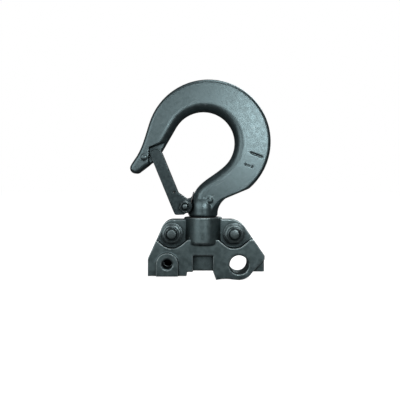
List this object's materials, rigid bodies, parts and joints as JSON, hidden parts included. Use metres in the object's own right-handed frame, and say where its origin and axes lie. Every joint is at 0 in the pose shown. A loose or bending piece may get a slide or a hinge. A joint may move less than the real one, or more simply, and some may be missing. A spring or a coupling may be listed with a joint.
{
  "type": "crane hook block",
  "caption": "Swivelling forged hook with a sprung safety latch, carried on a thrust bearing by a bolted split yoke with a cross pin bore.",
  "frame": {"origin": "middle of the hoist pin bore", "axes": "+Z along the swivel axis from the yoke towards the hook, +Y along the hoist pin bore towards the bolt heads, +X towards the hoist pin side"},
  "size_m": [0.1064, 0.0312, 0.1511],
  "materials": {
    "hook_paint": "grey-green coat over forged steel",
    "yoke_paint": "dark grey-green coat over cast steel",
    "latch_paint": "dark grey-green coat over pressed steel",
    "fastener_steel": "dark phosphate",
    "bearing_steel": "ground",
    "spring_steel": "drawn wire",
    "cage_brass": "pressed",
    "seal_rubber": "moulded"
  },
  "bodies": {
    "yoke": {"yoke_front_half": "yoke_paint", "yoke_rear_half": "yoke_paint", "yoke_bolt_left": "fastener_steel", "yoke_bolt_right": "fastener_steel", "yoke_nut_left": "fastener_steel", "yoke_nut_right": "fastener_steel", "nut_washer_left": "fastener_steel", "nut_washer_right": "fastener_steel", "head_washer_left": "fastener_steel", "head_washer_right": "fastener_steel", "dowel_pin_left": "bearing_steel", "dowel_pin_right": "bearing_steel", "dust_seal": "seal_rubber", "thrust_race_upper": "bearing_steel"},
    "hook": {"hook": "hook_paint", "hook_nut": "fastener_steel", "nut_lock_pin": "bearing_steel", "thrust_race_lower": "bearing_steel", "latch_bolt": "fastener_steel", "latch_nut": "fastener_steel", "latch_spring": "spring_steel"},
    "ball_ring": {"bearing_cage": "cage_brass", "bearing_balls": "bearing_steel"},
    "latch": {"latch": "latch_paint"}
  },
  "joints": [
    {"name": "hook_swivel", "type": "hinge", "parent": "yoke", "child": "hook", "pos_m": [-0.027, 0, 0.035], "axis": [0, 0, 1], "continuous": true},
    {"name": "ball_ring_roll", "type": "hinge", "parent": "yoke", "child": "ball_ring", "pos_m": [-0.027, 0, 0.0265], "axis": [0, 0, 1], "continuous": true},
    {"name": "latch_hinge", "type": "hinge", "parent": "hook", "child": "latch", "pos_m": [-0.0405, 0, 0.0438], "axis": [0, 1, 0], "range_deg": [0, 48], "stiffness_Nm_per_rad": 0.02, "springref_deg": -22.92, "deforming": ["latch_spring"]}
  ],
  "couplings": [
    {"joint": "ball_ring_roll", "follows": "hook_swivel", "ratio": 0.5}
  ]
}
